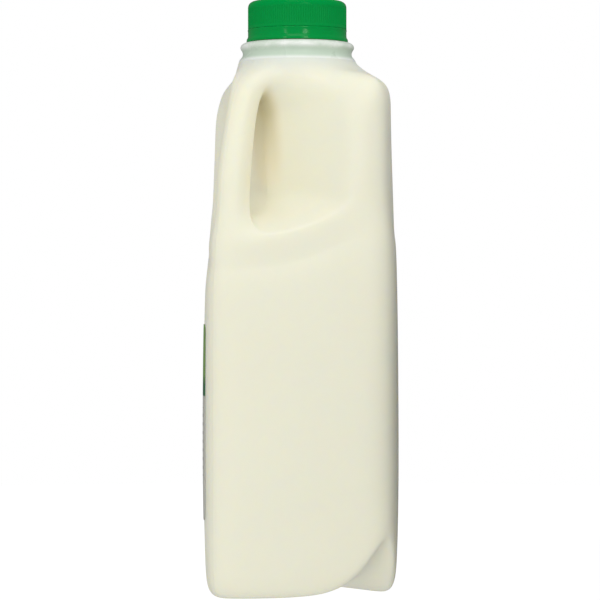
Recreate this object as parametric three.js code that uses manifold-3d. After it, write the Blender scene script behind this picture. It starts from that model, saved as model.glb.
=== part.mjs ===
// A quart jug of buttermilk: a square blow-moulded jug with a hollow handle at one corner,
// the drink inside it, a label on one face, and a ribbed screw cap with its tamper band.
// Millimetres, +Z up, origin under the middle of the base. The jug is the same on both sides of
// its parting plane, which runs through the handle corner and the corner across from it.
import * as THREE from 'three';
import { mergeVertices } from 'three/addons/utils/BufferGeometryUtils.js';
import Module from 'manifold-3d';

// Body of the jug
const BODY_HALF = 36.8;
const TOP_TAPER = 1.5;
const TAPER_FROM = 125;
const TAPER_TO = 190;
const CORNER_CUT = 2.1;
const FACE_BULGE = 2.2;
const BULGE_MIDDLE = 66;
const BULGE_REACH = 66;
const BULGE_HALF_WIDTH = 32.8;
const BULGE_POWER = { below: 4, above: 6 };
const WALL = 1.3;
const HOLLOW_SHARE = 0.5;

// Stops of the cage along a face next to the handle and along a plain face
const HANDLE_FACE_STOPS = [-27.5, -18, 0, 20, 28];
const PLAIN_FACE_STOPS = [-28, -18, 0, 18, 28];
const CHANNEL_LEAN = 9;
const LEAN_FROM = 8;

// Base: two feet with an arched channel between them, from corner to corner
const FOOT_EDGE_INSET = 1.8;
const FOOT_SCALE = 0.84;
const CHANNEL_HALF_WIDTH = 14;
const CHANNEL_HEIGHT = 5;
const CHANNEL_FLARE = 15.5;
const CHANNEL_REACH = 46;
const FLARE_FADE = 60;

// Heights of the cage rows, and how far each row climbs from the handle to the other corners
const EDGE_ROWS = [{ z: 3.4, rise: 0 }, { z: 14, rise: 0 }, { z: 34, rise: 0 }, { z: 62, rise: 0 }];
const PANEL_ROWS = [{ z: 92, rise: 2 }, { z: 113, rise: 7 }, { z: 125.5, rise: 12 }, { z: 130, rise: 12 }];
const UNDER_LEDGE_ROW = { z: 137, rise: 12 };
const LEDGE_ROW = { z: 140.2, rise: 12 };
const HANDLE_ROWS = [{ z: 151, rise: 9 }, { z: 164, rise: 5 }, { z: 178, rise: 2 }, { z: 190, rise: 0 }];
const CLIMB_START = -18;
const CLIMB_LENGTH = 38;
const CLIMB_MOST = 1.12;

// Handle
const HANDLE_FOOT = { z: 150, middle: -26.5 };
const HANDLE_LEAN = 4.2;
const HANDLE_LEAN_POWER = 1.6;
const HANDLE_LENGTH = 43;
const HANDLE_RADIUS = 6.35;
const CAGE_SWELL = 1.2;

// Finger gap: bends of its floor and roof near the mouth, and where they meet the parting plane
const GAP_STATIONS = [0.1, 0.4, 0.72, 0.92, 1];
const ROUND_GAP_STATIONS = [0.4, 0.72, 1];
const GAP_LEVELS = [0.13, 0.36, 0.63, 0.85];
const FLOOR_BENDS = [[-19, -25, 146], [-6, -22, 150.5], [4, -18, 160]];
const FLOOR_ENDS = [{ at: -20.6, z: 147 }, { at: -15.8, z: 147.5 }, { at: -11.8, z: 151 }];
const ROOF_BENDS = [[4, -18, 197], [-6, -20, 199.5], [-14.5, -20, 198]];
const ROOF_ENDS = [{ at: -9.4, z: 197.7 }, { at: -12.2, z: 198.7 }, { at: -15.6, z: 197.8 }];

// Top of the recess: the handle's bend, the arch over the panel and the raised corners
const BEND = [[-25.6, -25.6, 199.5], [-20, -28.5, 201], [-13.5, -27.5, 202]];
const ARCH = [[-1, -27.8, 204.4], [20, -32.8, 198], [28, -33.6, 200.5]];
const CORNER_TOP = { z: 201, rise: 3.6 };

// Shoulder between the raised corners and the neck
const SHOULDER = { z: 205.6, rise: 2, archRadius: 26.2, cornerRadius: 29.2 };
const SHOULDER_TOP = { radius: 24.7, z: 208.9 };

// Neck and its finish, on an axis set slightly towards the handle
const NECK_SHIFT = -1.5;
const NECK_ROOT = { radius: 23.5, z: 210.4 };
const NECK_STEP_RADIUS = 22.65;
const NECK_WAIST_RADIUS = 21.95;
const NECK_BEAD_RADIUS = 22.55;
const NECK_BEAD_TOP = 218.8;
const NECK_BEAD_HEIGHT = 3.8;
const NECK_EDGE = 0.8;
const FINISH_RADIUS = 18.2;
const FINISH_TOP = 232.3;
const MILK_LEVEL = 211.3;
const MILK_CLEARANCE = 0.6;

// Cap and tamper band
const CAP_RADIUS = 19.85;
const CAP_TOP = 234.6;
const CAP_BOTTOM = 223.5;
const CAP_INSIDE_RADIUS = 18.6;
const CAP_THICKNESS = 1.7;
const CAP_RIM = 2.2;
const CAP_SIDES = 60;
const RIB_COUNT = 110;
const RIB_DEPTH = 0.35;
const RIB_BOTTOM = 224.6;
const RIB_TOP = 231.7;
const BAND_BOTTOM = 219.2;
const BAND_TOP = 223.1;
const BAND_LIP_RADIUS = 20.1;
const BAND_LIP = 1.3;

// Label on the left face
const LABEL_BOTTOM = 30;
const LABEL_TOP = 104;
const LABEL_HALF_WIDTH = 26;
const LABEL_THICKNESS = 0.3;
const LABEL_CLEARANCE = 0.25;
const LABEL_STEPS = { across: 8, up: 10 };

const MERGE_DISTANCE = 1e-4;
const GRID = 6;
const RING = 4 * GRID;
const lerp = THREE.MathUtils.lerp;
const clamp = THREE.MathUtils.clamp;
const smoothstep = THREE.MathUtils.smoothstep;
const point = (x, y, z) => new THREE.Vector3(x, y, z);
const mirrored = (p) => point(p.y, p.x, p.z);

const wasm = await Module();
wasm.setup();

// Half width of the body at its corners, and how far a face swells past it
const bodyHalf = (z) => BODY_HALF - TOP_TAPER * smoothstep(z, TAPER_FROM, TAPER_TO);

function swell(across, z) {
  const power = z > BULGE_MIDDLE ? BULGE_POWER.above : BULGE_POWER.below;
  const upright = 1 - Math.pow((z - BULGE_MIDDLE) / BULGE_REACH, power);
  const sideways = 1 - Math.pow(across / BULGE_HALF_WIDTH, 2);
  return FACE_BULGE * Math.max(0, upright) * Math.max(0, sideways);
}

// Height of the channel's roof over the floor, from how far across and along the channel a place is
function channelRoof(x, y) {
  const across = (x + y) * Math.SQRT1_2;
  const along = (x - y) * Math.SQRT1_2;
  const crest = CHANNEL_HEIGHT + CHANNEL_FLARE * Math.pow(Math.abs(along) / CHANNEL_REACH, 4);
  return crest * Math.pow(Math.max(0, 1 - Math.pow(across / CHANNEL_HALF_WIDTH, 2)), 2);
}

// Column, row of the six by six plan grid that a place on the ring has, from the handle corner on
function ringPlace(j) {
  const step = j % GRID;
  return [[step, 0], [GRID, step], [GRID - step, GRID], [0, GRID - step]][Math.floor(j / GRID)];
}

// Place of a stop along its face, where the middle one leans towards the channel near the floor
function stop(index, share, z) {
  if (index % GRID === 0) return Math.sign(index - 1) * (BODY_HALF - CORNER_CUT);
  const lean = index === GRID / 2 ? CHANNEL_LEAN * (1 - smoothstep(z, LEAN_FROM, FLARE_FADE)) : 0;
  return lerp(HANDLE_FACE_STOPS[index - 1] + lean, PLAIN_FACE_STOPS[index - 1] - lean, share);
}

// A point of the plain square body at one height
function bodyPoint(j, z, swellZ = z) {
  const [i, k] = ringPlace(j);
  const half = bodyHalf(z);
  const x = i % GRID === 0 ? Math.sign(i - 1) * half : stop(i, k / GRID, z);
  const y = k % GRID === 0 ? Math.sign(k - 1) * half : stop(k, i / GRID, z);
  if (i % GRID === 0 && k % GRID === 0) {
    return point(x - Math.sign(x) * CORNER_CUT, y - Math.sign(y) * CORNER_CUT, z);
  }
  if (k % GRID === 0) return point(x, y + Math.sign(y) * swell(x, swellZ), z);
  return point(x + Math.sign(x) * swell(y, swellZ), y, z);
}

// Share of a row's climb at one column: none at the handle, all of it from the next corner on
function climb(j) {
  const [i, k] = ringPlace(j);
  if (k > 0 && i > 0) return CLIMB_MOST;
  const across = stop(Math.max(i, k), 0, FLARE_FADE);
  return clamp(Math.pow(Math.max(0, (across - CLIMB_START) / CLIMB_LENGTH), 2), 0, CLIMB_MOST);
}

function bodyRow(row) {
  return halfRing((j) => {
    const z = row.z + row.rise * climb(j);
    const p = bodyPoint(j, z, row.z);
    const edge = bodyPoint(j, 0);
    p.z += channelRoof(edge.x, edge.y) * Math.max(0, 1 - z / FLARE_FADE);
    return p;
  });
}

// A full ring from its half in front of the parting plane
function halfRing(place) {
  const ring = [];
  for (let j = 0; j < RING; j += 1) {
    ring.push(j <= RING / 2 ? place(j) : mirrored(ring[RING - j]));
  }
  return ring;
}

// The handle's middle line leans towards the neck as it climbs
function handleMiddle(z) {
  const share = Math.max(0, (z - HANDLE_FOOT.z) / HANDLE_LENGTH);
  return HANDLE_FOOT.middle + HANDLE_LEAN * Math.pow(share, HANDLE_LEAN_POWER);
}

function handlePoint(degrees, z) {
  const angle = THREE.MathUtils.degToRad(degrees);
  const reach = HANDLE_RADIUS * CAGE_SWELL;
  const middle = handleMiddle(z);
  return point(middle + reach * Math.cos(angle), middle + reach * Math.sin(angle), z);
}

function handleRow(row) {
  const ring = bodyRow(row);
  return halfRing((j) => (j < 3 ? handlePoint(225 + 60 * j, row.z) : ring[j]));
}

// Top of the recess, from the handle's bend over the arch to the raised corners
function archRow() {
  const front = [...BEND, ...ARCH];
  return halfRing((j) => {
    if (j < GRID) return point(...front[j]);
    const p = bodyPoint(j, CORNER_TOP.z);
    if (j % GRID === 0) p.z += CORNER_TOP.rise;
    return p;
  });
}

function neckPoint(j, radius, z) {
  const angle = THREE.MathUtils.degToRad(225 + (360 / RING) * j);
  return point(NECK_SHIFT + radius * Math.cos(angle), NECK_SHIFT + radius * Math.sin(angle), z);
}

const neckRow = ({ radius, z }) => halfRing((j) => neckPoint(j, radius, z));

// The shoulder is steep over the two arches and flatter towards the other corners
function shoulderRow(arch) {
  return halfRing((j) => {
    if (j < 5) return neckPoint(j, SHOULDER.archRadius, Math.max(SHOULDER.z, arch[j].z + SHOULDER.rise));
    return neckPoint(j, SHOULDER.cornerRadius, SHOULDER.z);
  });
}

// A path along the wall of the finger gap, from a point of its mouth to the parting plane
function gapPath(start, bend, end) {
  return new THREE.QuadraticBezierCurve3(start, point(...bend), point(end.at, end.at, end.z));
}

// Loops round the finger gap from its mouth inwards: floor, inner side, roof and handle side
function gapLoops(ledge, arch, shares) {
  const floors = FLOOR_BENDS.map((bend, n) => gapPath(ledge[2 + n], bend, FLOOR_ENDS[n]));
  const roofs = ROOF_BENDS.map((bend, n) => gapPath(arch[4 - n], bend, ROOF_ENDS[n]));
  return shares.map((share) => {
    const floor = floors.map((path) => path.getPoint(share));
    const roof = roofs.map((path) => path.getPoint(share));
    const up = GAP_LEVELS.map((level) => floor[2].clone().lerp(roof[0], level));
    const down = HANDLE_ROWS.map((row) => handlePoint(345 + 60 * share, row.z)).reverse();
    return [...floor, ...up, ...roof, ...down];
  });
}

function mouthLoop(ledge, handleRows, arch, columns) {
  const [near, middle, far] = columns;
  const up = handleRows.map((row) => row[far]);
  const down = handleRows.map((row) => row[near]).reverse();
  return [ledge[near], ledge[middle], ledge[far], ...up, arch[far], arch[middle], arch[near], ...down];
}

// The whole cage, open at the neck: rings joined upwards, a grid under them and the finger gap.
// The outside has crisp lips round the gap, which the rounder inside leaves out.
function jugCage(crisp) {
  const points = [];
  const faces = [];
  const add = (p) => points.push(p) - 1;
  const addAll = (ring) => ring.map(add);

  const grid = [];
  for (let i = 0; i <= GRID; i += 1) {
    grid.push([]);
    for (let k = 0; k <= GRID; k += 1) {
      const x = FOOT_SCALE * stop(i, k / GRID, 0);
      const y = FOOT_SCALE * stop(k, i / GRID, 0);
      grid[i].push(add(point(x, y, channelRoof(x, y))));
    }
  }
  for (let i = 0; i < GRID; i += 1) {
    for (let k = 0; k < GRID; k += 1) {
      faces.push([grid[i][k], grid[i][k + 1], grid[i + 1][k + 1], grid[i + 1][k]]);
    }
  }
  const footRing = Array.from({ length: RING }, (_, j) => {
    const [i, k] = ringPlace(j);
    return grid[i][k];
  });
  const footEdge = halfRing((j) => {
    const p = bodyPoint(j, 0);
    const pull = 1 - FOOT_EDGE_INSET / BODY_HALF;
    return point(p.x * pull, p.y * pull, channelRoof(p.x, p.y));
  });
  const underLedge = crisp ? [UNDER_LEDGE_ROW] : [];
  const lower = [...EDGE_ROWS, ...PANEL_ROWS, ...underLedge].map(bodyRow);
  const ledgePoints = bodyRow(LEDGE_ROW);
  const ledge = addAll(ledgePoints);
  const handleRows = HANDLE_ROWS.map((row) => addAll(handleRow(row)));
  const archPoints = archRow();
  const arch = addAll(archPoints);
  const neck = [shoulderRow(archPoints), neckRow(SHOULDER_TOP), neckRow(NECK_ROOT)];
  const below = [footRing, addAll(footEdge), ...lower.map(addAll)];
  const rings = [...below, ledge, ...handleRows, arch, ...neck.map(addAll)];

  const ledgeAt = rings.indexOf(ledge);
  const archAt = rings.indexOf(arch);
  const inMouth = (j) => (j >= 2 && j < 4) || (j >= RING - 4 && j < RING - 2);
  for (let r = 0; r + 1 < rings.length; r += 1) {
    for (let j = 0; j < RING; j += 1) {
      if (r >= ledgeAt && r < archAt && inMouth(j)) continue;
      const next = (j + 1) % RING;
      faces.push([rings[r][j], rings[r][next], rings[r + 1][next], rings[r + 1][j]]);
    }
  }

  const loops = gapLoops(ledgePoints, archPoints, crisp ? GAP_STATIONS : ROUND_GAP_STATIONS);
  const seam = addAll(loops.pop());
  const front = [mouthLoop(ledge, handleRows, arch, [2, 3, 4]), ...loops.map(addAll)];
  const left = [mouthLoop(ledge, handleRows, arch, [RING - 2, RING - 3, RING - 4])];
  loops.forEach((loop) => left.push(addAll(loop.map(mirrored))));
  const stations = [...front, seam, ...left.reverse()];
  for (let s = 0; s + 1 < stations.length; s += 1) {
    const count = stations[s].length;
    for (let p = 0; p < count; p += 1) {
      const next = (p + 1) % count;
      faces.push([stations[s][p], stations[s][next], stations[s + 1][next], stations[s + 1][p]]);
    }
  }
  return { points, faces };
}

const edgeKey = (a, b) => (a < b ? `${a} ${b}` : `${b} ${a}`);
const edgeEnds = (key) => key.split(' ').map(Number);

// Neighbours of each point of a quad mesh: by edge, across a face, and along an open border
function neighbours({ points, faces }) {
  const around = points.map(() => ({ edges: new Set(), corners: [], owners: [], border: [] }));
  const uses = new Map();
  faces.forEach((face, f) => {
    face.forEach((a, n) => {
      const b = face[(n + 1) % 4];
      const key = edgeKey(a, b);
      uses.set(key, [...(uses.get(key) ?? []), f]);
      around[a].edges.add(b);
      around[b].edges.add(a);
      around[a].corners.push(face[(n + 2) % 4]);
      around[a].owners.push(f);
    });
  });
  for (const [key, owners] of uses) {
    if (owners.length > 1) continue;
    const [a, b] = edgeEnds(key);
    around[a].border.push(b);
    around[b].border.push(a);
  }
  return { around, uses };
}

function mean(list) {
  const sum = point(0, 0, 0);
  list.forEach((p) => sum.add(p));
  return sum.divideScalar(list.length);
}

// A point of an open border, weighed against the two beside it
function borderPoint(points, i, border, weight) {
  const sum = points[i].clone().multiplyScalar(weight);
  border.forEach((other) => sum.add(points[other]));
  return sum.divideScalar(weight + 2);
}

// One round of Catmull-Clark subdivision of a quad mesh with open borders
function subdivide(mesh) {
  const { points, faces } = mesh;
  const { around, uses } = neighbours(mesh);
  const centres = faces.map((face) => mean(face.map((i) => points[i])));
  const made = points.map((p, i) => {
    const { edges, owners, border } = around[i];
    if (border.length) return borderPoint(points, i, border, 6);
    const n = edges.size;
    const halves = mean([...edges].map((e) => points[e].clone().lerp(p, 0.5)));
    const sum = mean(owners.map((f) => centres[f])).addScaledVector(halves, 2);
    return sum.addScaledVector(p, n - 3).divideScalar(n);
  });
  const middles = new Map();
  for (const [key, owners] of uses) {
    const ends = edgeEnds(key).map((i) => points[i]);
    const place = owners.length > 1 ? mean([...ends, ...owners.map((f) => centres[f])]) : mean(ends);
    middles.set(key, made.push(place) - 1);
  }
  const quads = [];
  faces.forEach((face, f) => {
    const centre = made.push(centres[f]) - 1;
    face.forEach((a, n) => {
      const after = middles.get(edgeKey(a, face[(n + 1) % 4]));
      const before = middles.get(edgeKey(face[(n + 3) % 4], a));
      quads.push([a, after, centre, before]);
    });
  });
  return { points: made, faces: quads };
}

// The same mesh with each point moved onto the smooth surface that subdivision tends to
function onLimit(mesh) {
  const { points, faces } = mesh;
  const { around } = neighbours(mesh);
  const settled = points.map((p, i) => {
    const { edges, corners, border } = around[i];
    if (border.length) return borderPoint(points, i, border, 4);
    const n = edges.size;
    const sum = p.clone().multiplyScalar(n * n);
    edges.forEach((e) => sum.addScaledVector(points[e], 4));
    corners.forEach((c) => sum.add(points[c]));
    return sum.divideScalar(n * (n + 5));
  });
  return { points: settled, faces };
}

// The same mesh moved inwards by a wall's thickness along the mean normal at each point, and
// further where the surface is hollow, because flat facets there cut into the wall
function inset(mesh, depth) {
  const { around } = neighbours(mesh);
  const normals = mesh.points.map(() => point(0, 0, 0));
  for (const face of mesh.faces) {
    const [a, b, c, d] = face.map((i) => mesh.points[i]);
    const normal = c.clone().sub(a).cross(d.clone().sub(b));
    face.forEach((i) => normals[i].add(normal));
  }
  const points = mesh.points.map((p, i) => {
    const normal = normals[i].normalize();
    const others = mean([...around[i].edges].map((e) => mesh.points[e]));
    const hollow = Math.max(0, others.sub(p).dot(normal));
    return p.clone().addScaledVector(normal, -depth - HOLLOW_SHARE * hollow);
  });
  return { points, faces: mesh.faces };
}

// Closes the open neck border with turned rings of the given radii and heights and a disc on top
function closeNeck(mesh, profile) {
  const { around } = neighbours(mesh);
  const points = mesh.points.slice();
  const faces = mesh.faces.slice();
  const turn = (i) => Math.atan2(points[i].y - NECK_SHIFT, points[i].x - NECK_SHIFT);
  let ring = points.map((_, i) => i).filter((i) => around[i].border.length);
  ring.sort((a, b) => turn(a) - turn(b));
  const angles = ring.map(turn);
  for (const [radius, height] of profile) {
    const upper = angles.map((angle) => {
      const x = NECK_SHIFT + radius * Math.cos(angle);
      const y = NECK_SHIFT + radius * Math.sin(angle);
      return points.push(point(x, y, height)) - 1;
    });
    ring.forEach((a, n) => {
      const next = (n + 1) % ring.length;
      faces.push([a, ring[next], upper[next], upper[n]]);
    });
    ring = upper;
  }
  const centre = points.push(point(NECK_SHIFT, NECK_SHIFT, profile[profile.length - 1][1])) - 1;
  ring.forEach((a, n) => faces.push([a, ring[(n + 1) % ring.length], centre]));
  return { points, faces };
}

function meshGeometry({ points, faces }) {
  const index = [];
  for (const face of faces) {
    for (let n = 1; n + 1 < face.length; n += 1) index.push(face[0], face[n], face[n + 1]);
  }
  return new THREE.BufferGeometry().setFromPoints(points).setIndex(index);
}

function solid(geometry) {
  const bare = new THREE.BufferGeometry();
  bare.setAttribute('position', geometry.getAttribute('position'));
  bare.setIndex(geometry.index);
  const merged = mergeVertices(bare, MERGE_DISTANCE);
  const vertProperties = new Float32Array(merged.getAttribute('position').array);
  const triVerts = new Uint32Array(merged.index.array);
  return new wasm.Manifold(new wasm.Mesh({ numProp: 3, vertProperties, triVerts }));
}

function solidGeometry(made) {
  const { vertProperties, triVerts } = made.getMesh();
  const geometry = new THREE.BufferGeometry();
  geometry.setAttribute('position', new THREE.BufferAttribute(vertProperties, 3));
  return geometry.setIndex(new THREE.BufferAttribute(triVerts, 1));
}

// A turned piece about the neck's axis from radius and height pairs
function turned(profile, sides) {
  const outline = profile.map(([radius, height]) => new THREE.Vector2(radius, height));
  return new THREE.LatheGeometry(outline, sides).rotateX(Math.PI / 2).translate(NECK_SHIFT, NECK_SHIFT, 0);
}

const smoothShell = onLimit(jugCage(false));

function jugGeometry() {
  const outside = closeNeck(onLimit(subdivide(jugCage(true))), [
    [NECK_STEP_RADIUS, NECK_ROOT.z + NECK_EDGE],
    [NECK_STEP_RADIUS, NECK_ROOT.z + 2 * NECK_EDGE],
    [NECK_WAIST_RADIUS, NECK_ROOT.z + 3 * NECK_EDGE],
    [NECK_WAIST_RADIUS, NECK_BEAD_TOP - NECK_BEAD_HEIGHT],
    [NECK_BEAD_RADIUS, NECK_BEAD_TOP - NECK_BEAD_HEIGHT + NECK_EDGE],
    [NECK_BEAD_RADIUS, NECK_BEAD_TOP - 2 * NECK_EDGE],
    [NECK_BEAD_RADIUS - NECK_EDGE, NECK_BEAD_TOP],
    [FINISH_RADIUS, NECK_BEAD_TOP],
    [FINISH_RADIUS, FINISH_TOP],
  ]);
  const inside = closeNeck(inset(smoothShell, WALL), [
    [NECK_WAIST_RADIUS - WALL, NECK_ROOT.z],
    [NECK_WAIST_RADIUS - WALL, NECK_BEAD_TOP - WALL],
    [FINISH_RADIUS - WALL, NECK_BEAD_TOP - WALL],
    [FINISH_RADIUS - WALL, FINISH_TOP + WALL],
  ]);
  return solidGeometry(solid(meshGeometry(outside)).subtract(solid(meshGeometry(inside))));
}

function milkGeometry() {
  return meshGeometry(closeNeck(inset(smoothShell, WALL + MILK_CLEARANCE), [
    [NECK_WAIST_RADIUS - WALL - MILK_CLEARANCE, NECK_ROOT.z],
    [NECK_WAIST_RADIUS - WALL - MILK_CLEARANCE, MILK_LEVEL],
  ]));
}

// A cup with a rounded rim, and a ring of fine grip ribs round it
function capGeometry() {
  const root = CAP_RADIUS - RIB_DEPTH;
  const rim = [0, 30, 60, 90].map((degrees) => {
    const angle = THREE.MathUtils.degToRad(degrees);
    const inwards = CAP_RIM * (1 - Math.cos(angle));
    return [CAP_RADIUS - inwards, CAP_TOP - CAP_RIM * (1 - Math.sin(angle))];
  });
  const cup = turned([
    [0, CAP_TOP - CAP_THICKNESS],
    [CAP_INSIDE_RADIUS, CAP_TOP - CAP_THICKNESS],
    [CAP_INSIDE_RADIUS, CAP_BOTTOM],
    [CAP_RADIUS, CAP_BOTTOM],
    [CAP_RADIUS, RIB_BOTTOM],
    [root, RIB_BOTTOM],
    [root, RIB_TOP],
    ...rim,
    [0, CAP_TOP],
  ], CAP_SIDES);
  const ribs = new THREE.Shape();
  for (let n = 0; n < 2 * RIB_COUNT; n += 1) {
    const angle = (Math.PI * n) / RIB_COUNT;
    const reach = n % 2 ? root : CAP_RADIUS;
    ribs[n ? 'lineTo' : 'moveTo'](reach * Math.cos(angle), reach * Math.sin(angle));
  }
  ribs.closePath();
  ribs.holes.push(new THREE.Path().absarc(0, 0, root - RIB_DEPTH, 0, 2 * Math.PI, true));
  const ribRing = new THREE.ExtrudeGeometry(ribs, {
    depth: RIB_TOP - RIB_BOTTOM,
    bevelEnabled: false,
    curveSegments: CAP_SIDES / 2,
  });
  ribRing.translate(NECK_SHIFT, NECK_SHIFT, RIB_BOTTOM);
  return solidGeometry(solid(cup).add(solid(ribRing)));
}

function bandGeometry() {
  return turned([
    [CAP_INSIDE_RADIUS, BAND_TOP],
    [CAP_INSIDE_RADIUS, BAND_BOTTOM],
    [BAND_LIP_RADIUS, BAND_BOTTOM],
    [BAND_LIP_RADIUS, BAND_BOTTOM + BAND_LIP],
    [CAP_RADIUS, BAND_BOTTOM + BAND_LIP + BAND_LIP_RADIUS - CAP_RADIUS],
    [CAP_RADIUS, BAND_TOP],
    [CAP_INSIDE_RADIUS, BAND_TOP],
  ], CAP_SIDES);
}

// A thin sheet that follows the swell of the left face
function labelGeometry() {
  const { across, up } = LABEL_STEPS;
  const points = [];
  const faces = [];
  const at = (layer, a, u) => (layer * (up + 1) + u) * (across + 1) + a;
  for (let layer = 0; layer < 2; layer += 1) {
    for (let u = 0; u <= up; u += 1) {
      for (let a = 0; a <= across; a += 1) {
        const y = lerp(-LABEL_HALF_WIDTH, LABEL_HALF_WIDTH, a / across);
        const z = lerp(LABEL_BOTTOM, LABEL_TOP, u / up);
        const out = bodyHalf(z) + swell(y, z) + LABEL_CLEARANCE + layer * LABEL_THICKNESS;
        points.push(point(-out, y, z));
      }
    }
  }
  for (let u = 0; u < up; u += 1) {
    for (let a = 0; a < across; a += 1) {
      faces.push([at(0, a, u), at(0, a + 1, u), at(0, a + 1, u + 1), at(0, a, u + 1)]);
      faces.push([at(1, a, u), at(1, a, u + 1), at(1, a + 1, u + 1), at(1, a + 1, u)]);
    }
  }
  for (let a = 0; a < across; a += 1) {
    faces.push([at(0, a, 0), at(1, a, 0), at(1, a + 1, 0), at(0, a + 1, 0)]);
    faces.push([at(0, a, up), at(0, a + 1, up), at(1, a + 1, up), at(1, a, up)]);
  }
  for (let u = 0; u < up; u += 1) {
    faces.push([at(0, 0, u), at(0, 0, u + 1), at(1, 0, u + 1), at(1, 0, u)]);
    faces.push([at(0, across, u), at(1, across, u), at(1, across, u + 1), at(0, across, u + 1)]);
  }
  return meshGeometry({ points, faces });
}

const plastic = new THREE.MeshStandardMaterial({ color: 0xece9d6, roughness: 0.45, metalness: 0 });
const milk = new THREE.MeshStandardMaterial({ color: 0xf0ead0, roughness: 0.4, metalness: 0 });
const green = new THREE.MeshStandardMaterial({ color: 0x0a8f42, roughness: 0.35, metalness: 0 });
const film = new THREE.MeshStandardMaterial({ color: 0x7fae4a, roughness: 0.5, metalness: 0 });

function piece(name, geometry, material) {
  const mesh = new THREE.Mesh(geometry, material);
  mesh.name = name;
  return mesh;
}

const jug = new THREE.Group();
jug.add(piece('jug', jugGeometry(), plastic));
jug.add(piece('buttermilk', milkGeometry(), milk));
jug.add(piece('cap', capGeometry(), green));
jug.add(piece('tamper_band', bandGeometry(), green));
jug.add(piece('label', labelGeometry(), film));

export default jug;
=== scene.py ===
import math

import bmesh
import bpy
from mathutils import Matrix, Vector


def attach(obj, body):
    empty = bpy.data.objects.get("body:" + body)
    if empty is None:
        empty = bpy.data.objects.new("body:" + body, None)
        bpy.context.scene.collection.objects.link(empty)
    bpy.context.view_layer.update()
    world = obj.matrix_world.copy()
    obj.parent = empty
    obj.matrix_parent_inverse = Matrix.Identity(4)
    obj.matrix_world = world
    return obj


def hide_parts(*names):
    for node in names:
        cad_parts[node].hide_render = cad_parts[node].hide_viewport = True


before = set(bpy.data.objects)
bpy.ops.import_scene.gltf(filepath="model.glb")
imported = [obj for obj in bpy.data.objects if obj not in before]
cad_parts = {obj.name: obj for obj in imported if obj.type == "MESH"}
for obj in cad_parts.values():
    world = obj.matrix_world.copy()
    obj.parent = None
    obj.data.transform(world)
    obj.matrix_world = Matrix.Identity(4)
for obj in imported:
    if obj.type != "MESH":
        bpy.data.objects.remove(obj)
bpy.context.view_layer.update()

# The jug is one blown piece of translucent polythene: a square body on two feet, a hollow handle
# pinched off at one corner, a recess beside it on both faces, and a round neck for the cap.
# Its cage is drawn up row by row from the base, and is the same on both sides of the parting plane.
# Sizes are in millimetres, and columns of the cage are counted from the corner with the handle.
MM = 0.001
GRID = 6
RING = 4 * GRID
HANDLE_CORNER = 225
MOUTH_COLUMNS = (2, 3, 4)
BODY_HALF = 36.8
CORNER_CUT = 2.1
TOP_CORNER_CUT = 2.1
TOP_CORNER_FLAT = 2.1
TOP_CORNER_SPAN = (128, 160)
TOP_TAPER = 1.3
TOP_TAPER_SPAN = (135, 195)
FACE_BULGE = 2.2
BULGE_MIDDLE = 66
BULGE_HALF_WIDTH = 32.8
BULGE_FALL = 0.6
BULGE_STEP = (123, 129)
HANDLE_FACE_STOPS = (-27.5, -18, 0, 20.6, 28)
PLAIN_FACE_STOPS = (-28, -18, 0, 18, 28)
CHANNEL_LEAN = 9
CHANNEL_LEAN_START = 8
CHANNEL_HALF_WIDTHS = (20, 14.5)
CHANNEL_HEIGHT = 5
CHANNEL_FLARE = 15.5
CHANNEL_REACH = 46
FLARE_FADE = 60
FOOT_EDGE_INSET = 2.4
FOOT_SCALE = 0.84
# Each row has its height at the handle, its climb away from it, and how far it is sunk there
BODY_ROWS = (
    (4, 0, 0), (14, 0, 0), (34, 0, 0), (62, 0, 0), (92, 2, 0), (113, 7, 0), (124.5, 12, 0),
    (127.5, 12, 0.7), (131, 12, 0.75), (135.5, 12, 0.6),
)
LEDGE_ROW = (140.2, 12, 0.4)
HANDLE_ROWS = ((151, 9, 0), (164, 5, 0), (178, 2, 0), (190, 0, 0))
SUNK_ENDS = (8, 27)
CLIMB_START = -18
CLIMB_LENGTH = 38
CLIMB_MOST = 1.12
HANDLE_FOOT_Z = 150
HANDLE_MIDDLE = -26.5
HANDLE_LEAN = 4.2
HANDLE_CURVE = 1.6
HANDLE_LENGTH = 43
HANDLE_REACH = 8.1
HANDLE_FLAT = 2.5
HANDLE_FLAT_GROWTH = 0.8
HANDLE_SWELL = 8
HANDLE_EDGE = 0.6
HANDLE_STEP = 60
BEND = ((-25.6, -25.6, 200), (-20, -28.4, 202.2), (-14, -26.3, 202.8))
ARCH = ((-1, -25.6, 205), (20.2, -32.6, 196.8), (28, -33.4, 200))
CORNER_TOP = 201
CORNER_RISE = 3.6
NECK_SHIFT = -1.5
SHOULDER_Z = 205.6
SHOULDER_STEP = 2
SHOULDER_ARCH_RADIUS = 24.6
SHOULDER_CORNER_RADIUS = 29.2
HANDLE_ROOT = (26.6, 207.4)
COLLAR_ARCH_RADIUS = 24
COLLAR = (24.7, 208.9)
NECK_FOOT = (23.5, 210.4)
# The finger gap is drawn in by these shares of the way, along bent paths to the parting plane
GAP_STATIONS = (0.06, 0.2, 0.42, 0.66, 0.85, 1)
GAP_LEVELS = (0.13, 0.36, 0.63, 0.85)
FLOOR_BENDS = ((-19.5, -27, 147), (-9, -25, 150.5), (-10.2, -16.4, 161))
FLOOR_ENDS = ((-20.4, 148.5), (-16.2, 150.5), (-13.2, 155))
ROOF_BENDS = ((-9.5, -24.6, 191.2), (-12, -26.3, 195.8), (-15, -25, 195.8))
ROOF_ENDS = ((-15.2, 190.2), (-16.4, 193.3), (-17.2, 194.2))
ROOF_EASE = 0.75
# A ring of the cage settles to this share of its radius once it is rounded
ROUND_SHARE = (2 + math.cos(2 * math.pi / RING)) / 3
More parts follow.
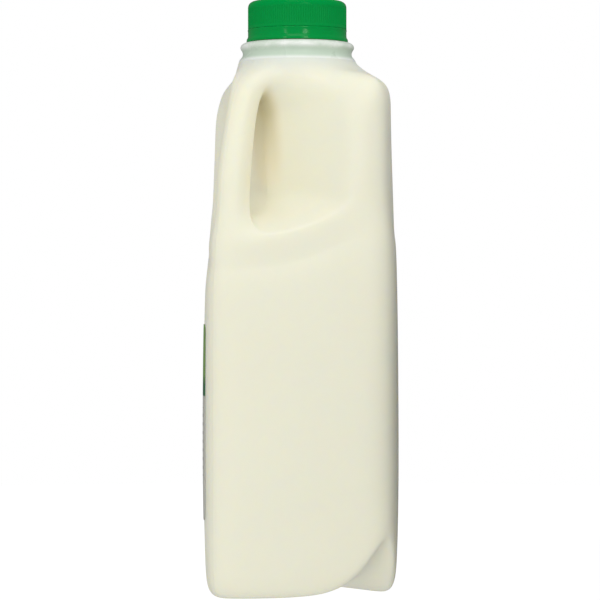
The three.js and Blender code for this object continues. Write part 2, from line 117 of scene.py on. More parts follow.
# Neck from its root up past the waist and over the bead, then down inside to a floor
NECK_RINGS = (
    (23.2, 211.0), (22.75, 211.4), (22.6, 211.8), (22.05, 212.3), (21.7, 212.9), (21.6, 213.6),
    (21.7, 214.4), (22.1, 215.1), (22.5, 215.6), (22.65, 216.2), (22.5, 216.9), (22.0, 217.5),
    (21.2, 217.95), (20.4, 218.15), (19.0, 218.2), (18.4, 218.6), (18.2, 219.2), (18.2, 231.6),
    (18.0, 232.2), (17.6, 232.3), (17.2, 232.1), (17.1, 231.6), (17.1, 219.0), (17.3, 218.0),
    (18.0, 217.5), (20.2, 217.3), (20.7, 216.8), (20.7, 208.6), (20.2, 208.0),
)


def smoothstep(low, high, value):
    share = min(1, max(0, (value - low) / (high - low)))
    return share * share * (3 - 2 * share)


def body_half(z):
    return BODY_HALF - TOP_TAPER * smoothstep(*TOP_TAPER_SPAN, z)


def swell(across, z):
    away = (z - BULGE_MIDDLE) / BULGE_MIDDLE
    upright = max(0, 1 - away ** 4)
    if z > BULGE_MIDDLE:
        upright = (1 - BULGE_FALL * away ** 2) * (1 - smoothstep(*BULGE_STEP, z))
    return FACE_BULGE * upright * max(0, 1 - (across / BULGE_HALF_WIDTH) ** 2)


def channel_roof(x, y):
    across = (x + y) * math.sqrt(0.5)
    along = (x - y) * math.sqrt(0.5)
    crest = CHANNEL_HEIGHT + CHANNEL_FLARE * (abs(along) / CHANNEL_REACH) ** 4
    return crest * max(0, 1 - abs(across) / CHANNEL_HALF_WIDTHS[0 if across < 0 else 1])


def ring_place(j):
    step = j % GRID
    return ((step, 0), (GRID, step), (GRID - step, GRID), (0, GRID - step))[j // GRID]


def stop_at(index, share, z):
    if index % GRID == 0:
        return math.copysign(BODY_HALF - CORNER_CUT, index - 1)
    lean = 0
    if index == GRID // 2:
        lean = CHANNEL_LEAN * (1 - smoothstep(CHANNEL_LEAN_START, FLARE_FADE, z))
    handle_side = HANDLE_FACE_STOPS[index - 1] + lean
    return handle_side + (PLAIN_FACE_STOPS[index - 1] - lean - handle_side) * share


def body_point(j, z, swell_z=None):
    i, k = ring_place(j)
    half = body_half(z)
    level = z if swell_z is None else swell_z
    x = math.copysign(half, i - 1) if i % GRID == 0 else stop_at(i, k / GRID, z)
    y = math.copysign(half, k - 1) if k % GRID == 0 else stop_at(k, i / GRID, z)
    rounder = smoothstep(*TOP_CORNER_SPAN, z)
    if i % GRID == 0 and k % GRID == 0:
        cut = CORNER_CUT + TOP_CORNER_CUT * rounder
        return Vector((x - math.copysign(cut, x), y - math.copysign(cut, y), z))
    stand = -TOP_CORNER_FLAT * rounder if (i + k) % GRID in (1, GRID - 1) else 0
    if k % GRID == 0:
        return Vector((x, y + math.copysign(1, y) * (swell(x, level) + stand), z))
    return Vector((x + math.copysign(1, x) * (swell(y, level) + stand), y, z))


def mirrored(place):
    return Vector((place.y, place.x, place.z))


def half_ring(place):
    half = [place(j) for j in range(RING // 2 + 1)]
    return half + [mirrored(half[RING - j]) for j in range(RING // 2 + 1, RING)]


def body_row(row):
    z_at_handle, rise, inset = row

    def place(j):
        i, k = ring_place(j)
        climbed, sunk = CLIMB_MOST, 0
        if i == 0 or k == 0:
            across = stop_at(max(i, k), 0, FLARE_FADE)
            climbed = min(CLIMB_MOST, max(0, (across - CLIMB_START) / CLIMB_LENGTH) ** 2)
            sunk = inset * (1 - smoothstep(*SUNK_ENDS, across))
        z = z_at_handle + rise * climbed
        spot = body_point(j, z, z_at_handle)
        edge = body_point(j, 0)
        spot.z += channel_roof(edge.x, edge.y) * max(0, 1 - z / FLARE_FADE)
        return spot + Vector((sunk if i == 0 else 0, sunk if k == 0 else 0, 0))

    return half_ring(place)


def handle_point(degrees, z):
    share = max(0, (z - HANDLE_FOOT_Z) / HANDLE_LENGTH)
    middle = HANDLE_MIDDLE + HANDLE_LEAN * share ** HANDLE_CURVE
    angle = math.radians(degrees)
    inner_side = (1 + math.cos(angle - math.pi / 4)) / 2
    reach = HANDLE_REACH - (HANDLE_FLAT + HANDLE_FLAT_GROWTH * share) * inner_side
    reach += HANDLE_SWELL * share * max(0, 1 - share) ** 2 * (1 - inner_side)
    return Vector((middle + reach * math.cos(angle), middle + reach * math.sin(angle), z))


def handle_inside(share, z):
    front = handle_point(HANDLE_CORNER + HANDLE_STEP * MOUTH_COLUMNS[0], z)
    edge = front.x - HANDLE_EDGE
    return Vector((front.x - HANDLE_EDGE * share ** 2, front.y + (edge - front.y) * share, z))


def handle_row(row):
    ring = body_row(row)

    def place(j):
        if j > MOUTH_COLUMNS[0]:
            return ring[j]
        return handle_point(HANDLE_CORNER + HANDLE_STEP * j, row[0])

    return half_ring(place)


def arch_row():
    front = BEND + ARCH

    def place(j):
        if j < GRID:
            return Vector(front[j])
        spot = body_point(j, CORNER_TOP)
        spot.z += CORNER_RISE if j % GRID == 0 else 0
        return spot

    return half_ring(place)


def neck_row(radius, z):
    angles = [math.radians(HANDLE_CORNER + 360 / RING * j) for j in range(RING)]
    turned = [(radius * math.cos(angle), radius * math.sin(angle)) for angle in angles]
    return [Vector((NECK_SHIFT + x, NECK_SHIFT + y, z)) for x, y in turned]


def shoulder_row(arch):
    steep = [
        neck_row(SHOULDER_ARCH_RADIUS, max(SHOULDER_Z, spot.z + SHOULDER_STEP)) for spot in arch]
    flat = neck_row(SHOULDER_CORNER_RADIUS, SHOULDER_Z)
    root = neck_row(*HANDLE_ROOT)

    def place(j):
        if j in MOUTH_COLUMNS:
            return steep[j][j]
        return root[j] if j < MOUTH_COLUMNS[0] else flat[j]

    return half_ring(place)


def collar_row(radius, z):
    steep, flat = neck_row(COLLAR_ARCH_RADIUS, z), neck_row(radius, z)
    return half_ring(lambda j: steep[j] if j in MOUTH_COLUMNS else flat[j])


def bent_path(start, bend, end, share):
    finish = Vector((end[0], end[0], end[1]))
    return start * (1 - share) ** 2 + Vector(bend) * 2 * share * (1 - share) + finish * share ** 2


def gap_loop(ledge, arch, share):
    floor_starts = [ledge[j] for j in MOUTH_COLUMNS]
    roof_starts = [arch[j] for j in reversed(MOUTH_COLUMNS)]
    floor_ways = zip(floor_starts, FLOOR_BENDS, FLOOR_ENDS)
    roof_ways = zip(roof_starts, ROOF_BENDS, ROOF_ENDS)
    floor = [bent_path(start, bend, end, share) for start, bend, end in floor_ways]
    roof = [bent_path(start, bend, end, share ** ROOF_EASE) for start, bend, end in roof_ways]
    up = [floor[2].lerp(roof[0], level) for level in GAP_LEVELS]
    down = [handle_inside(share, row[0]) for row in reversed(HANDLE_ROWS)]
    return floor + up + roof + down


def spot_key(place):
    return tuple(round(value, 4) for value in place)


# Draws the selected open rim on to the next ring, point by point
def draw_on(mesh, names, places):
    bpy.ops.mesh.extrude_region_move()
    drawn = bmesh.from_edit_mesh(mesh)
    for vertex in drawn.verts:
        if vertex.select:
            vertex.co = places[names[spot_key(vertex.co)]]
    bmesh.update_edit_mesh(mesh)
    return {spot_key(place): name for name, place in enumerate(places)}


def select_rim(mesh, places):
    bpy.ops.mesh.select_all(action="DESELECT")
    wanted = {spot_key(place) for place in places}
    drawn = bmesh.from_edit_mesh(mesh)
    for edge in drawn.edges:
        ends = [spot_key(vertex.co) in wanted for vertex in edge.verts]
        edge.select_set(edge.is_boundary and all(ends))
    bmesh.update_edit_mesh(mesh)


bpy.ops.object.select_all(action="DESELECT")
bpy.ops.mesh.primitive_grid_add(x_subdivisions=GRID, y_subdivisions=GRID, size=2)
jug = bpy.context.object
jug.name = "jug_wall"
bpy.ops.object.mode_set(mode="EDIT")
bpy.ops.mesh.select_mode(type="EDGE")
base = bmesh.from_edit_mesh(jug.data)
foot_ring = [None] * RING
for vertex in base.verts:
    i, k = round((vertex.co.x + 1) * GRID / 2), round((vertex.co.y + 1) * GRID / 2)
    x, y = FOOT_SCALE * stop_at(i, k / GRID, 0), FOOT_SCALE * stop_at(k, i / GRID, 0)
    vertex.co = (x, y, channel_roof(x, y))
    for j in range(RING):
        if ring_place(j) == (i, k):
            foot_ring[j] = vertex.co.copy()
bmesh.update_edit_mesh(jug.data)

foot_edge = []
for j in range(RING):
    spot = body_point(j, 0)
    pull = 1 - FOOT_EDGE_INSET / BODY_HALF
    foot_edge.append(Vector((spot.x * pull, spot.y * pull, channel_roof(spot.x, spot.y))))
ledge = body_row(LEDGE_ROW)
handle_rows = [handle_row(row) for row in HANDLE_ROWS]
arch = arch_row()
shoulder = [shoulder_row(arch), collar_row(*COLLAR), neck_row(*NECK_FOOT)]
neck = [neck_row(radius / ROUND_SHARE, z) for radius, z in NECK_RINGS]
rows = [foot_edge] + [body_row(row) for row in BODY_ROWS] + [ledge]
rows += handle_rows + [arch] + shoulder + neck
select_rim(jug.data, foot_ring)
names = {spot_key(place): j for j, place in enumerate(foot_ring)}
for places in rows:
    names = draw_on(jug.data, names, places)
bpy.ops.mesh.edge_face_add()
bpy.ops.mesh.poke()

# The recess on each side of the handle is cut out and drawn inwards until both meet
for side in (1, -1):
    columns = [(side * j) % RING for j in MOUTH_COLUMNS]
    window = [ledge] + handle_rows + [arch]
    mouth = [ledge[j] for j in columns] + [row[columns[2]] for row in handle_rows]
    mouth += [arch[j] for j in reversed(columns)]
    mouth += [row[columns[0]] for row in reversed(handle_rows)]
    inside = {spot_key(row[j]) for row in window for j in columns}
    bpy.ops.mesh.select_mode(type="FACE")
    bpy.ops.mesh.select_all(action="DESELECT")
    cage = bmesh.from_edit_mesh(jug.data)
    for face in cage.faces:
        face.select_set(all(spot_key(vertex.co) in inside for vertex in face.verts))
    bmesh.update_edit_mesh(jug.data)
    bpy.ops.mesh.delete(type="FACE")
    bpy.ops.mesh.select_mode(type="EDGE")
    select_rim(jug.data, mouth)
    names = {spot_key(place): n for n, place in enumerate(mouth)}
    for share in GAP_STATIONS:
        loop = gap_loop(ledge, arch, share)
        loop = loop if side == 1 else [mirrored(place) for place in loop]
        names = draw_on(jug.data, names, loop)
bpy.ops.mesh.select_all(action="SELECT")
bpy.ops.mesh.remove_doubles(threshold=0.01)
bpy.ops.mesh.normals_make_consistent(inside=False)
bpy.ops.mesh.select_all(action="SELECT")
bpy.ops.transform.resize(value=(MM, MM, MM), center_override=(0, 0, 0))
bpy.ops.object.mode_set(mode="OBJECT")
rounding = jug.modifiers.new("rounding", "SUBSURF")
rounding.levels = 3
rounding.render_levels = 3
bpy.ops.object.modifier_apply(modifier=rounding.name)
bpy.ops.object.shade_smooth()


# Gives a node's inputs plain values, or links them to what other nodes put out
def feed(tree, node, inputs):
    for name, value in inputs.items():
        socket = node.inputs[name]
        if isinstance(value, bpy.types.NodeSocket):
            tree.links.new(value, socket)
        else:
            socket.default_value = (*value, 1) if socket.type == "RGBA" else value


# Moulded plastic has a faint grain and patches that are duller than the rest
RELIEF_DEPTH = 0.0002
skin = bpy.data.node_groups.new("moulded_skin", "ShaderNodeTree")
for socket, default in (("Grain", 900.0), ("Dull", 0.5), ("Bright", 0.35)):
    made = skin.interface.new_socket(socket, in_out="INPUT", socket_type="NodeSocketFloat")
    made.default_value = default
for socket in ("Roughness", "Height"):
    skin.interface.new_socket(socket, in_out="OUTPUT", socket_type="NodeSocketFloat")
skin_in = skin.nodes.new("NodeGroupInput").outputs
skin_out = skin.nodes.new("NodeGroupOutput")
skin_where = skin.nodes.new("ShaderNodeTexCoord").outputs["Object"]
grain = skin.nodes.new("ShaderNodeTexNoise")
feed(skin, grain, {"Vector": skin_where, "Scale": skin_in["Grain"], "Detail": 3})
patches = skin.nodes.new("ShaderNodeTexNoise")
feed(skin, patches, {"Vector": skin_where, "Scale": 60, "Detail": 4})
dulling = skin.nodes.new("ShaderNodeMapRange")
feed(skin, dulling, {
    "Value": patches.outputs["Fac"], "From Min": 0.3, "From Max": 0.7,
    "To Min": skin_in["Bright"], "To Max": skin_in["Dull"]})
feed(skin, skin_out, {"Roughness": dulling.outputs["Result"], "Height": grain.outputs["Fac"]})


def skinned_material(name, grain_size, dull, bright, bump):
    material = bpy.data.materials.new(name)
    material.use_nodes = True
    tree = material.node_tree
    surface = tree.nodes.new("ShaderNodeGroup")
    surface.node_tree = skin
    feed(tree, surface, {"Grain": grain_size, "Dull": dull, "Bright": bright})
    relief = tree.nodes.new("ShaderNodeBump")
    feed(tree, relief, {
        "Strength": bump, "Distance": RELIEF_DEPTH, "Height": surface.outputs["Height"]})
    shader = tree.nodes["Principled BSDF"]
    feed(tree, shader, {
        "Roughness": surface.outputs["Roughness"], "Normal": relief.outputs["Normal"]})
    return material, tree, shader


# The place on the piece, whole and as its three measures
def object_place(tree):
    where = tree.nodes.new("ShaderNodeTexCoord").outputs["Object"]
    measures = tree.nodes.new("ShaderNodeSeparateXYZ")
    feed(tree, measures, {"Vector": where})
    return where, *measures.outputs


def mottled(tree, where, scale, detail):
    noise = tree.nodes.new("ShaderNodeTexNoise")
    feed(tree, noise, {"Vector": where, "Scale": scale, "Detail": detail})
    return noise.outputs["Fac"]


def worked_out(tree, operation, first, second=0.0):
    node = tree.nodes.new("ShaderNodeMath")
    node.operation = operation
    feed(tree, node, {0: first, 1: second})
    return node.outputs["Value"]


def both(tree, first, second):
    return worked_out(tree, "MULTIPLY", first, second)


# Goes from nothing to full as a value passes from low to high, in millimetres
def eased(tree, value, low, high):
    ease = tree.nodes.new("ShaderNodeMapRange")
    ease.interpolation_type = "SMOOTHSTEP"
    feed(tree, ease, {
        "Value": value, "From Min": min(low, high) * MM, "From Max": max(low, high) * MM,
        "To Min": 0 if low < high else 1, "To Max": 1 if low < high else 0})
    return ease.outputs["Result"]


def between(tree, value, rise, fall):
    return both(tree, eased(tree, value, *rise), eased(tree, value, *fall))


def tinted(tree, mask, below, above):
    mix = tree.nodes.new("ShaderNodeMix")
    mix.data_type = "RGBA"
    feed(tree, mix, {"Factor": mask, "A": below, "B": above})
    return mix.outputs["Result"]


FILLED_COLOUR = (0.935, 0.915, 0.76)
SHADED_COLOUR = (0.92, 0.895, 0.73)
polythene, tree, plastic = skinned_material("filled_polythene", 700, 0.52, 0.42, 0.12)
where, x, y, z = object_place(tree)
drink_colour = tinted(tree, mottled(tree, where, 22, 2), FILLED_COLOUR, SHADED_COLOUR)

# Painted shade: the sunken panel of each recess is painted a warmer, yellower cream, the tone of
# its shaded hollow
RECESS_SHADE_COLOUR = (0.965, 0.91, 0.73)
PANEL_DEPTH = (32, 28.5)
PANEL_SIDE = (27, 20)
PANEL_RISE, PANEL_FALL = (143, 150), (201, 196)
outwards = worked_out(tree, "MULTIPLY", worked_out(tree, "MINIMUM", x, y), -1)
far_side = worked_out(tree, "MAXIMUM", x, y)
sunken = both(tree, eased(tree, outwards, *PANEL_DEPTH), eased(tree, far_side, *PANEL_SIDE))
panel = both(tree, sunken, between(tree, z, PANEL_RISE, PANEL_FALL))
recess_shaded_colour = tinted(tree, panel, drink_colour, RECESS_SHADE_COLOUR)

# Painted shade: the top of the finger gap, where the wall is pinched thick and the handle and roof
# keep light out, is painted a darker, deeper cream
GAP_SHADE_COLOUR = (0.76, 0.71, 0.49)
PINCH_MIDDLE = -16.4
PINCH_LENGTH = (9, 5)
PINCH_WIDTH = (15, 6)
PINCH_RISE, PINCH_FALL = (150, 196), (201, 198)
apart = worked_out(tree, "ABSOLUTE", worked_out(tree, "SUBTRACT", x, y))
along = worked_out(tree, "SUBTRACT", worked_out(tree, "ADD", x, y), 2 * PINCH_MIDDLE * MM)
from_middle = worked_out(tree, "ABSOLUTE", along)
beside_gap = both(tree, eased(tree, from_middle, *PINCH_LENGTH), eased(tree, apart, *PINCH_WIDTH))
gap_top_shade = both(tree, beside_gap, between(tree, z, PINCH_RISE, PINCH_FALL))
gap_shaded_colour = tinted(tree, gap_top_shade, recess_shaded_colour, GAP_SHADE_COLOUR)

# Towards the neck there is less drink behind the wall, so it is greyer; its green cast is painted
# light from the green cap
THIN_AND_CAP_LIT_COLOUR = (0.78, 0.83, 0.76)
THIN_SPAN = (201, 215)
wall_colour = tinted(tree, eased(tree, z, *THIN_SPAN), gap_shaded_colour, THIN_AND_CAP_LIT_COLOUR)
feed(tree, plastic, {
    "Base Color": wall_colour, "IOR": 1.5, "Subsurface Weight": 0.9,
    "Subsurface Radius": (1.0, 0.9, 0.65), "Subsurface Scale": 0.004})

# The parting line of the mould stands up a little along the plane between the two halves
RIDGE_WIDTH = (0.75, 0.25)
ridge = tree.nodes.new("ShaderNodeBump")
feed(tree, ridge, {
    "Strength": 0.35, "Distance": RELIEF_DEPTH, "Height": eased(tree, apart, *RIDGE_WIDTH)})
grain_relief = plastic.inputs["Normal"].links[0].from_node
feed(tree, grain_relief, {"Normal": ridge.outputs["Normal"]})
jug.data.materials.append(polythene)

# Above the drink the empty neck lets light through, so it looks greyer; its green cast is painted
# light from the green cap
DRINK_LEVEL = 210.7
DRINK_EDGE = (212.4, 210.8)
BEAD_RISE = (214.2, 216.2)
WAIST_COLOUR = (0.62, 0.74, 0.61)
BEAD_COLOUR = (0.72, 0.80, 0.70)
# The pale colour fills the neck towards the drink line, and makes painted highlights: soft white
# patches on the bead
PALE_AND_HIGHLIGHT_COLOUR = (0.88, 0.92, 0.86)
HIGHLIGHT_START = 0.42
HIGHLIGHT_CONTRAST = 5
empty_neck, tree, plastic = skinned_material("empty_polythene", 700, 0.34, 0.22, 0.12)
where, x, y, z = object_place(tree)
# Painted highlights: noise patches on the bead, mixed towards the pale colour
highlight_noise = worked_out(tree, "SUBTRACT", mottled(tree, where, 160, 3), HIGHLIGHT_START)
highlight_patches = worked_out(tree, "MULTIPLY", highlight_noise, HIGHLIGHT_CONTRAST)
bead = tinted(tree, highlight_patches, BEAD_COLOUR, PALE_AND_HIGHLIGHT_COLOUR)
above = tinted(tree, eased(tree, z, *BEAD_RISE), WAIST_COLOUR, bead)
neck_colour = tinted(tree, eased(tree, z, *DRINK_EDGE), above, PALE_AND_HIGHLIGHT_COLOUR)
feed(tree, plastic, {
    "Base Color": neck_colour, "IOR": 1.5, "Subsurface Weight": 0.4,
    "Subsurface Radius": (1.0, 1.0, 1.0), "Subsurface Scale": 0.0008})
jug.data.materials.append(empty_neck)
jug.active_material_index = 1
bpy.ops.object.mode_set(mode="EDIT")
bpy.ops.mesh.select_mode(type="FACE")
bpy.ops.mesh.select_all(action="DESELECT")
wall = bmesh.from_edit_mesh(jug.data)
for face in wall.faces:
    face.select_set(face.calc_center_median().z > DRINK_LEVEL * MM)
bmesh.update_edit_mesh(jug.data)
bpy.ops.object.material_slot_assign()
bpy.ops.mesh.select_mode(type="EDGE")
bpy.ops.object.mode_set(mode="OBJECT")
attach(jug, "root")
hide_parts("jug")

# The buttermilk fills the jug up to the neck, inside the wall and through the hollow handle. It is
# thick, opaque and cream coloured, so its body is the jug's own skin, cut level and shrunk.
WALL = 0.7
DRINK_TOP = 207.2
bpy.ops.object.select_all(action="DESELECT")
jug.select_set(True)
bpy.context.view_layer.objects.active = jug
bpy.ops.object.duplicate()
buttermilk = bpy.context.object
buttermilk.name = "buttermilk_fill"
buttermilk.data.materials.clear()
bpy.ops.object.mode_set(mode="EDIT")
bpy.ops.mesh.select_all(action="SELECT")
bpy.ops.mesh.bisect(
    plane_co=(0, 0, DRINK_TOP * MM), plane_no=(0, 0, 1), clear_outer=True, use_fill=True)
bpy.ops.mesh.select_all(action="SELECT")
bpy.ops.transform.shrink_fatten(value=-WALL * MM)
bpy.ops.mesh.vertices_smooth(factor=0.5, repeat=8)
bpy.ops.object.mode_set(mode="OBJECT")
cream, tree, shader = skinned_material("cultured_cream", 120, 0.4, 0.25, 0.05)
feed(tree, shader, {"Base Color": FILLED_COLOUR})
buttermilk.data.materials.append(cream)
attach(buttermilk, "root")
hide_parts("buttermilk")

# The tamper band is the green ring below the slit. It is moulded with the cap, hangs from it by
# small bridges that tear when the jug is first opened, and flares into a lip over the neck's bead.
NECK_AXIS = (NECK_SHIFT * MM, NECK_SHIFT * MM, 0)
BAND_SIDES = 192
BAND_RINGS = (
    (18.8, 218.45), (19.2, 218.32), (19.9, 218.3), (20.1, 218.4), (20.18, 218.65), (20.15, 219.2),
    (20.05, 219.6), (19.8, 219.95), (19.66, 220.3), (19.6, 220.8), (19.6, 222.6), (19.68, 222.8),
    (19.72, 223.05), (19.64, 223.28), (19.45, 223.4), (18.9, 223.4), (18.7, 223.2), (18.7, 218.6),
)
BRIDGES = 16
BRIDGE_REACH = 19.35
BRIDGE_Z = 223.3
BRIDGE_SIZE = (0.5, 0.9, 0.7)
GREEN = (0.0, 0.30, 0.055)


# Turns a piece about the neck: a circle drawn up through rings of radius and height
def turned_piece(name, sides, rings):
    bpy.ops.object.select_all(action="DESELECT")
    first_radius, first_height = rings[0]
    bpy.ops.mesh.primitive_circle_add(
        vertices=sides, radius=first_radius * MM,
        location=(NECK_AXIS[0], NECK_AXIS[1], first_height * MM))
    piece = bpy.context.object
    piece.name = name
    bpy.ops.object.transform_apply(location=True, rotation=False, scale=False)
    bpy.ops.object.mode_set(mode="EDIT")
    bpy.ops.mesh.select_all(action="SELECT")
    for (radius, height), (next_radius, next_height) in zip(rings, rings[1:]):
        rise = (0, 0, (next_height - height) * MM)
        bpy.ops.mesh.extrude_region_move(TRANSFORM_OT_translate={"value": rise})
        share = next_radius / radius
        bpy.ops.transform.resize(value=(share, share, 1), center_override=NECK_AXIS)
    return piece


def green_plastic(name, dull, bright, bump, shine):
    material, tree, shader = skinned_material(name, 1500, dull, bright, bump)
    feed(tree, shader, {
        "Base Color": GREEN, "Subsurface Weight": 0.15, "Subsurface Radius": (0.2, 1.0, 0.4),
        "Subsurface Scale": 0.0015, "Specular IOR Level": shine})
    return material


band = turned_piece("tamper_ring", BAND_SIDES, BAND_RINGS)
bpy.ops.mesh.select_all(action="DESELECT")
bpy.ops.mesh.select_non_manifold()
bpy.ops.mesh.bridge_edge_loops()
bpy.ops.mesh.select_all(action="SELECT")
bpy.ops.mesh.normals_make_consistent(inside=False)
for n in range(BRIDGES):
    angle = 2 * math.pi * n / BRIDGES
    x = NECK_AXIS[0] + BRIDGE_REACH * MM * math.cos(angle)
    y = NECK_AXIS[1] + BRIDGE_REACH * MM * math.sin(angle)
    bpy.ops.mesh.primitive_cube_add(
        size=1, location=(x, y, BRIDGE_Z * MM), rotation=(0, 0, angle),
        scale=[side * MM for side in BRIDGE_SIZE])
bpy.ops.object.mode_set(mode="OBJECT")
bpy.ops.object.shade_smooth_by_angle(angle=math.radians(50))
band.data.materials.append(green_plastic("green_cap_plastic", 0.17, 0.12, 0.01, 0.2))
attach(band, "root")
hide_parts("tamper_band")

# The cap is moulded in the same green plastic: a shallow cup with fine grip ribs all round, a
# rounded rim above them and a plain skirt below, where it tears off its band.
RIBS = 128
RIB_STEPS = 4
RIB_DEPTH = 0.26
RIB_SPAN = (224.9, 231.4)
SPAN_SLACK = 0.1
CAP_RADIUS = 19.6
OUTER_FROM = 19
CAP_RINGS = (
    (18.7, 232.7), (18.7, 223.6), (18.9, 223.45), (19.5, 223.44), (19.58, 223.5),
    (CAP_RADIUS, 223.7), (CAP_RADIUS, 224.5), (CAP_RADIUS, 224.9), (CAP_RADIUS, 227.0),
    (CAP_RADIUS, 229.4), (CAP_RADIUS, 231.4), (CAP_RADIUS, 231.9), (19.58, 232.4), (19.45, 233.0),
    (19.15, 233.6), (18.65, 234.1), (18.0, 234.45), (17.3, 234.6), (16.8, 234.6), (16.3, 234.5),
    (15.9, 234.35), (8.0, 234.35),
)
cap = turned_piece("ribbed_cap", RIB_STEPS * RIBS, CAP_RINGS)
bpy.ops.mesh.edge_face_add()
bpy.ops.mesh.select_all(action="DESELECT")
bpy.ops.mesh.select_non_manifold()
bpy.ops.mesh.edge_face_add()
bpy.ops.mesh.select_mode(type="VERT")
bpy.ops.mesh.select_all(action="DESELECT")
turned_cap = bmesh.from_edit_mesh(cap.data)
for vertex in turned_cap.verts:
    x, y = vertex.co.x - NECK_AXIS[0], vertex.co.y - NECK_AXIS[1]
    step = round(math.atan2(y, x) / (2 * math.pi) * RIB_STEPS * RIBS)
    in_span = RIB_SPAN[0] - SPAN_SLACK < vertex.co.z / MM < RIB_SPAN[1] + SPAN_SLACK
    outside = math.hypot(x, y) > OUTER_FROM * MM
    vertex.select_set(in_span and outside and step % RIB_STEPS >= RIB_STEPS // 2)
turned_cap.select_flush_mode()
bmesh.update_edit_mesh(cap.data)
share = 1 - RIB_DEPTH / CAP_RADIUS
bpy.ops.transform.resize(value=(share, share, 1), center_override=NECK_AXIS)
bpy.ops.mesh.select_all(action="SELECT")
bpy.ops.mesh.normals_make_consistent(inside=False)
bpy.ops.object.mode_set(mode="OBJECT")
bpy.ops.object.shade_smooth_by_angle(angle=math.radians(70))

# The ribs are satin, the rim above them is polished
RIM_START = 232.2
RIM_POLISH = 0.3
satin_plastic = green_plastic("satin_cap_plastic", 0.5, 0.42, 0.03, 0.05)
tree = satin_plastic.node_tree
shader = tree.nodes["Principled BSDF"]
where, x, y, z = object_place(tree)
satin = shader.inputs["Roughness"].links[0].from_socket
polish = worked_out(tree, "MULTIPLY", eased(tree, z, RIB_SPAN[1], RIM_START), RIM_POLISH)
feed(tree, shader, {"Roughness": worked_out(tree, "SUBTRACT", satin, polish)})
cap.data.materials.append(satin_plastic)
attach(cap, "root")
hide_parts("cap")

# The label is a thin printed film on the left face. It follows the face's swell, has rounded
# corners, and is printed in plain fields: leaf green above, pale below, with rows of grey bars.
LABEL_SPAN = (30, 106.4)
LABEL_WIDTH = 52
LABEL_CORNER = 3
LABEL_CUTS = 24
LABEL_START_X = -0.045
FILM_GAP = 0.00012
FILM_WALL = 0.00022


# A flat sheet that stands upright and faces along X, left open in edit mode
def upright_sheet(name, middle, width, height):
    bpy.ops.object.select_all(action="DESELECT")
    bpy.ops.mesh.primitive_plane_add(
        size=height, location=middle, rotation=(0, math.radians(-90), 0))
    sheet = bpy.context.object
    sheet.name = name
    bpy.ops.object.transform_apply(location=True, rotation=True, scale=True)
    bpy.ops.object.mode_set(mode="EDIT")
    bpy.ops.mesh.select_all(action="SELECT")
    bpy.ops.transform.resize(value=(1, width / height, 1), center_override=middle)
    return sheet


label_middle = (LABEL_START_X, 0, (LABEL_SPAN[0] + LABEL_SPAN[1]) / 2 * MM)
label_height = (LABEL_SPAN[1] - LABEL_SPAN[0]) * MM
label = upright_sheet("face_label", label_middle, LABEL_WIDTH * MM, label_height)
bpy.ops.mesh.bevel(offset=LABEL_CORNER * MM, segments=6, affect="VERTICES")
for n in range(1, LABEL_CUTS):
    share = n / LABEL_CUTS
    y = (2 * share - 1) * LABEL_WIDTH / 2 * MM
    z = (LABEL_SPAN[0] + (LABEL_SPAN[1] - LABEL_SPAN[0]) * share) * MM
    bpy.ops.mesh.select_all(action="SELECT")
    bpy.ops.mesh.bisect(plane_co=(0, y, 0), plane_no=(0, 1, 0))
    bpy.ops.mesh.select_all(action="SELECT")
    bpy.ops.mesh.bisect(plane_co=(0, 0, z), plane_no=(0, 0, 1))
bpy.ops.object.mode_set(mode="OBJECT")
laid = label.modifiers.new("laid", "SHRINKWRAP")
laid.target = jug
laid.wrap_method = "PROJECT"
laid.use_project_x = True
laid.use_project_y = False
laid.use_project_z = False
laid.use_positive_direction = True
laid.use_negative_direction = True
laid.offset = FILM_GAP
bpy.ops.object.modifier_apply(modifier=laid.name)
film_wall = label.modifiers.new("film", "SOLIDIFY")
film_wall.thickness = FILM_WALL
film_wall.offset = 1
bpy.ops.object.modifier_apply(modifier=film_wall.name)
bpy.ops.object.shade_smooth_by_angle(angle=math.radians(40))

LEAF_GREEN = (0.20, 0.40, 0.09)
DARK_GREEN = (0.015, 0.17, 0.06)
PALE_FIELD = (0.62, 0.62, 0.57)
BAR_GREY = (0.16, 0.17, 0.16)
BAR_PITCH = 3.4
BAR_GAP = 0.62
BAR_ENDS = (21.2, 21)
BARS_RISE, BARS_FALL = (46.9, 47.1), (74.1, 73.9)
STRIPE_START = (78.4, 78.8)
LEAF_FADE = (82, 88)
film, tree, shader = skinned_material("printed_film", 400, 0.45, 0.34, 0.03)
where, x, y, z = object_place(tree)
bar_row = worked_out(tree, "FRACT", worked_out(tree, "DIVIDE", z, BAR_PITCH * MM))
bar_length = eased(tree, worked_out(tree, "ABSOLUTE", y), *BAR_ENDS)
printed = both(tree, bar_length, between(tree, z, BARS_RISE, BARS_FALL))
bars = both(tree, worked_out(tree, "GREATER_THAN", bar_row, BAR_GAP), printed)
pale = tinted(tree, bars, PALE_FIELD, BAR_GREY)
lower = tinted(tree, eased(tree, z, *STRIPE_START), pale, DARK_GREEN)
upper = tinted(tree, eased(tree, z, *LEAF_FADE), lower, LEAF_GREEN)
feed(tree, shader, {"Base Color": upper})
label.data.materials.append(film)
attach(label, "root")
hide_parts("label")

# The studio: a sheet of white paper under the jug, two tall soft boxes in front of it, one to each
# side of the camera, a broad light overhead, a dark card at the right, and a white room behind.
bpy.ops.object.select_all(action="DESELECT")
bpy.ops.mesh.primitive_circle_add(vertices=96, radius=0.7, fill_type="NGON", location=(0, 0, 0))
floor = bpy.context.object
floor.name = "paper_floor"
paper = bpy.data.materials.new("white_paper")
paper.use_nodes = True
feed(paper.node_tree, paper.node_tree.nodes["Principled BSDF"], {
    "Base Color": (0.12, 0.12, 0.12), "Roughness": 0.9,
    "Emission Color": (1, 1, 1), "Emission Strength": 0.96})
floor.data.materials.append(paper)
floor.visible_diffuse = False
floor.visible_glossy = False
floor.visible_shadow = False


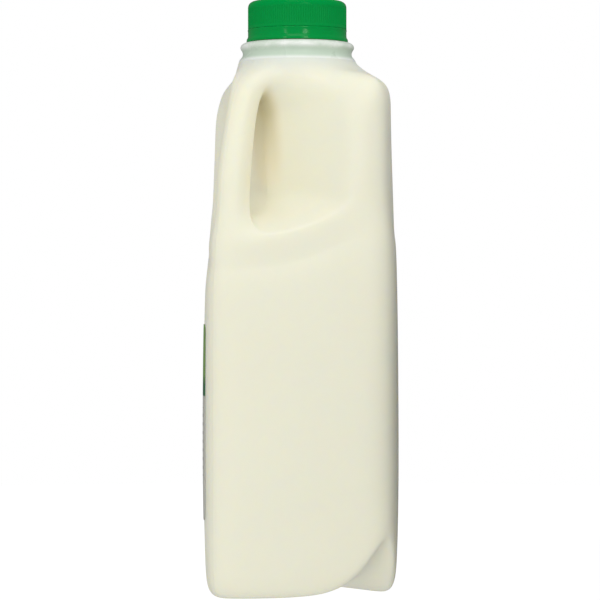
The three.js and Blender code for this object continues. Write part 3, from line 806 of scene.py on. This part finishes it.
def soft_box(name, place, aim, size, power):
    lamp = bpy.data.lights.new(name, "AREA")
    lamp.shape = "RECTANGLE"
    lamp.size, lamp.size_y = size
    lamp.energy = power
    light = bpy.data.objects.new(name, lamp)
    light.location = place
    light.rotation_euler = (Vector(aim) - Vector(place)).to_track_quat("-Z", "Y").to_euler()
    bpy.context.scene.collection.objects.link(light)


JUG_MIDDLE = (0, 0, 0.12)
soft_box("left_box", (-0.66, -1.29, 0.45), JUG_MIDDLE, (0.1, 1.0), 1.1)
soft_box("right_box", (0.47, -1.37, 0.45), JUG_MIDDLE, (0.25, 1.0), 3.5)
soft_box("high_box", (0, -0.9, 1.35), JUG_MIDDLE, (1.0, 0.8), 3.2)

# The card is beyond the right edge of the view, and draws that side of the jug darker
card = upright_sheet("dark_card", (0.14, 0.05, 0.072), 0.47, 0.185)
bpy.ops.object.mode_set(mode="OBJECT")
card_finish = bpy.data.materials.new("black_card")
card_finish.use_nodes = True
feed(card_finish.node_tree, card_finish.node_tree.nodes["Principled BSDF"], {
    "Base Color": (0.03, 0.03, 0.03)})
card.data.materials.append(card_finish)
card.visible_camera = False

# The room is plain white to the camera, lights the jug less, and is dim in reflections
ROOM_LIGHT = 0.72
ROOM_GLOSS = 0.14
room = bpy.data.worlds.new("white_room")
bpy.context.scene.world = room
room.use_nodes = True
tree = room.node_tree
seen = tree.nodes.new("ShaderNodeLightPath").outputs
unseen_room = tree.nodes.new("ShaderNodeMapRange")
feed(tree, unseen_room, {
    "Value": seen["Is Glossy Ray"], "To Min": ROOM_LIGHT, "To Max": ROOM_GLOSS})
strength = tree.nodes.new("ShaderNodeMapRange")
feed(tree, strength, {
    "Value": seen["Is Camera Ray"], "To Min": unseen_room.outputs["Result"], "To Max": 1})
feed(tree, tree.nodes["Background"], {
    "Color": (1, 1, 1), "Strength": strength.outputs["Result"]})

bpy.context.scene.view_settings.view_transform = "Standard"
camera_data = bpy.data.cameras.new("photo_camera")
camera_data.sensor_width = 36
camera_data.lens = 180.7
camera = bpy.data.objects.new("photo_camera", camera_data)
camera.location = (-0.0004, -1.2, 0.116)
camera.rotation_euler = (math.radians(90), 0, 0)
bpy.context.scene.collection.objects.link(camera)
bpy.context.scene.camera = camera
